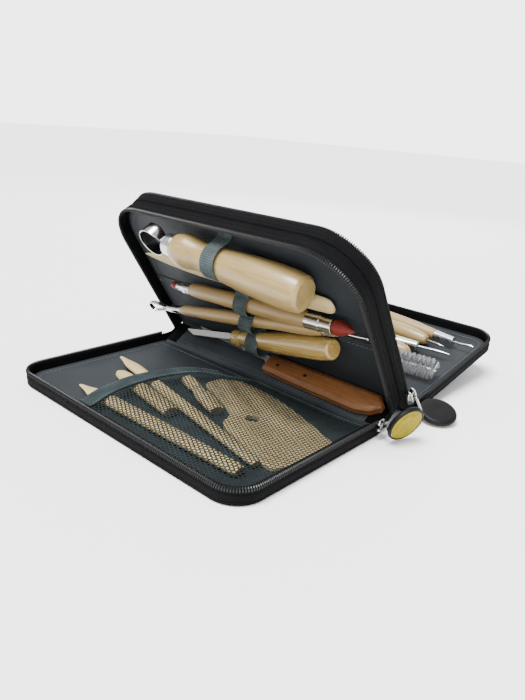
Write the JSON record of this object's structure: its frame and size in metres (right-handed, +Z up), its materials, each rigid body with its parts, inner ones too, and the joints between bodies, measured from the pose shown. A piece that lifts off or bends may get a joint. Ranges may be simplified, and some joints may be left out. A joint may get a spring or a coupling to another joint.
{
  "type": "clay modelling tool case",
  "caption": "Zip-round case standing open as hinged leaves, with clay shapers, ribbon tools, knives, needles, sticks and a brush held by elastic and a net pocket.",
  "frame": {"origin": "middle of the front cover's flat underside, on the table", "axes": "+X from the front cover to the back cover, +Y along the spine away from the zip pulls, +Z up"},
  "size_m": [0.3029, 0.2416, 0.1299],
  "materials": {
    "case_nylon": "woven, matt",
    "zip_black": "satin coil and tape",
    "board_core": "woven nylon over board",
    "lining": "soft satin grain",
    "net": "open mesh",
    "elastic": "woven elastic",
    "boxwood": "sanded",
    "lacquered_wood": "clear gloss lacquer",
    "hardwood": "oiled",
    "steel": "bright plated",
    "aluminium": "turned",
    "rubber_red": "matt",
    "bristle": "translucent nylon",
    "disc_yellow": "moulded"
  },
  "bodies": {
    "front_cover": {"front_cover_board": "board_core", "front_cover_wall": "case_nylon", "front_cover_zip": "zip_black", "front_cover_lining": "lining", "pocket_net": "net", "pocket_binding": "elastic"},
    "leaf": {"leaf_board": "board_core", "leaf_front_wall": "case_nylon", "leaf_back_wall": "case_nylon", "leaf_front_zip": "zip_black", "leaf_back_zip": "zip_black", "leaf_front_lining": "lining", "leaf_back_lining": "lining", "front_spine_strip": "lining", "tool_elastic": "elastic"},
    "back_strip": {"back_spine_strip": "lining"},
    "back_cover": {"back_cover_board": "board_core", "back_cover_wall": "case_nylon", "back_cover_zip": "zip_black", "back_cover_lining": "lining"},
    "long_stick": {"long_stick": "boxwood"},
    "slant_stick": {"slant_stick": "boxwood"},
    "round_stick": {"round_stick": "boxwood"},
    "necked_stick": {"necked_stick": "boxwood"},
    "wood_rib": {"wood_rib": "boxwood"},
    "ribbon_tool": {"ribbon_tool_handle": "boxwood", "ribbon_tool_ferrule": "aluminium", "ribbon_tool_strap": "steel"},
    "leaf_knife": {"leaf_knife": "boxwood"},
    "shaper": {"shaper_handle": "boxwood", "shaper_near_ferrule": "steel", "shaper_far_ferrule": "steel", "shaper_near_tip": "rubber_red", "shaper_far_tip": "rubber_red"},
    "detail_tool": {"detail_tool_handle": "boxwood", "detail_tool_far_ferrule": "steel", "detail_tool_near_ferrule": "aluminium", "detail_tool_loop": "steel", "detail_tool_stylus": "steel"},
    "clay_knife": {"clay_knife_handle": "lacquered_wood", "clay_knife_blade": "steel"},
    "potter_knife": {"potter_knife_lower_scale": "hardwood", "potter_knife_upper_scale": "hardwood", "potter_knife_blade": "steel"},
    "hook_tool": {"hook_tool_handle": "boxwood", "hook_tool_ferrule": "steel", "hook_tool_wire": "steel"},
    "needle_tool": {"needle_tool_handle": "boxwood", "needle_tool_pin": "steel"},
    "pin_tool": {"pin_tool_handle": "steel", "pin_tool_pin": "steel"},
    "round_tool": {"round_tool": "boxwood"},
    "brush": {"brush_bristles": "bristle", "brush_wire": "steel"},
    "front_slider": {"front_slider": "steel"},
    "back_slider": {"back_slider": "steel"},
    "front_pull": {"front_pull_link": "steel", "front_pull_disc": "disc_yellow"},
    "back_pull": {"back_pull_link": "steel", "back_pull_disc": "disc_yellow"}
  },
  "joints": [
    {"name": "front_fold", "type": "hinge", "parent": "front_cover", "child": "leaf", "pos_m": [0.0655, 0, 0], "axis": [0, -1, 0], "range_deg": [0, 40]},
    {"name": "spine_fold", "type": "hinge", "parent": "leaf", "child": "back_strip", "pos_m": [0.08705, 0, 0.014], "axis": [0, -1, 0], "range_deg": [0, 66]},
    {"name": "back_cover_fold", "type": "hinge", "parent": "back_strip", "child": "back_cover", "pos_m": [0.10861, 0, 0], "axis": [0, -1, 0], "range_deg": [-10.5, 46]},
    {"name": "long_stick_slide", "type": "slide", "parent": "front_cover", "child": "long_stick", "axis": [-0.0168, 0.9999, 0], "range_m": [0, 0.03]},
    {"name": "slant_stick_slide", "type": "slide", "parent": "front_cover", "child": "slant_stick", "axis": [0.2057, 0.9786, 0], "range_m": [0, 0.012]},
    {"name": "round_stick_slide", "type": "slide", "parent": "front_cover", "child": "round_stick", "axis": [0.173, 0.9849, 0], "range_m": [0, 0.03]},
    {"name": "necked_stick_slide", "type": "slide", "parent": "front_cover", "child": "necked_stick", "axis": [0.3547, 0.935, 0], "range_m": [0, 0.03]},
    {"name": "wood_rib_slide", "type": "slide", "parent": "front_cover", "child": "wood_rib", "axis": [0.3547, 0.935, 0], "range_m": [0, 0.007]},
    {"name": "ribbon_tool_slide", "type": "slide", "parent": "leaf", "child": "ribbon_tool", "axis": [-0.0545, 0.995, 0.0839], "range_m": [-0.002, 0.002]},
    {"name": "leaf_knife_slide", "type": "slide", "parent": "leaf", "child": "leaf_knife", "axis": [0.0049, 1, -0.0075], "range_m": [-0.004, 0.004]},
    {"name": "shaper_slide", "type": "slide", "parent": "leaf", "child": "shaper", "axis": [0.0393, 0.9974, -0.0605], "range_m": [-0.004, 0.004]},
    {"name": "detail_tool_slide", "type": "slide", "parent": "leaf", "child": "detail_tool", "axis": [0.0223, 0.9877, -0.1546], "range_m": [-0.002, 0.004]},
    {"name": "clay_knife_slide", "type": "slide", "parent": "leaf", "child": "clay_knife", "axis": [0.1462, 0.9633, -0.2252], "range_m": [-0.002, 0.002]},
    {"name": "potter_knife_slide", "type": "slide", "parent": "leaf", "child": "potter_knife", "axis": [-0.0012, 0.9999, 0.0109], "range_m": [-0.002, 0.004]},
    {"name": "hook_tool_slide", "type": "slide", "parent": "back_cover", "child": "hook_tool", "axis": [0.1095, 0.9938, 0.0203], "range_m": [-0.002, 0.01]},
    {"name": "needle_tool_slide", "type": "slide", "parent": "back_cover", "child": "needle_tool", "axis": [0.1056, 0.9942, 0.0196], "range_m": [-0.01, 0.01]},
    {"name": "pin_tool_slide", "type": "slide", "parent": "back_cover", "child": "pin_tool", "axis": [-0.0886, 0.9959, -0.0164], "range_m": [-0.008, 0.01]},
    {"name": "round_tool_slide", "type": "slide", "parent": "back_cover", "child": "round_tool", "axis": [-0.1099, 0.9937, -0.0204], "range_m": [-0.01, 0.01]},
    {"name": "brush_slide", "type": "slide", "parent": "back_cover", "child": "brush", "axis": [-0.058, 0.9983, -0.0107], "range_m": [-0.003, 0.01]},
    {"name": "front_slider_slide", "type": "slide", "parent": "front_cover", "child": "front_slider", "axis": [-1, 0, 0], "range_m": [0, 0.085]},
    {"name": "back_slider_slide", "type": "slide", "parent": "leaf", "child": "back_slider", "axis": [-0.5446, 0, 0.8387], "range_m": [0, 0.085]},
    {"name": "front_pull_swing", "type": "hinge", "parent": "front_slider", "child": "front_pull", "pos_m": [0.0595, -0.114, 0.0098], "axis": [0, -1, 0], "range_deg": [0, 60]},
    {"name": "back_pull_swing", "type": "hinge", "parent": "back_slider", "child": "back_pull", "pos_m": [0.0934, -0.114, 0.0199], "axis": [0, -1, 0], "range_deg": [0, 50]}
  ]
}
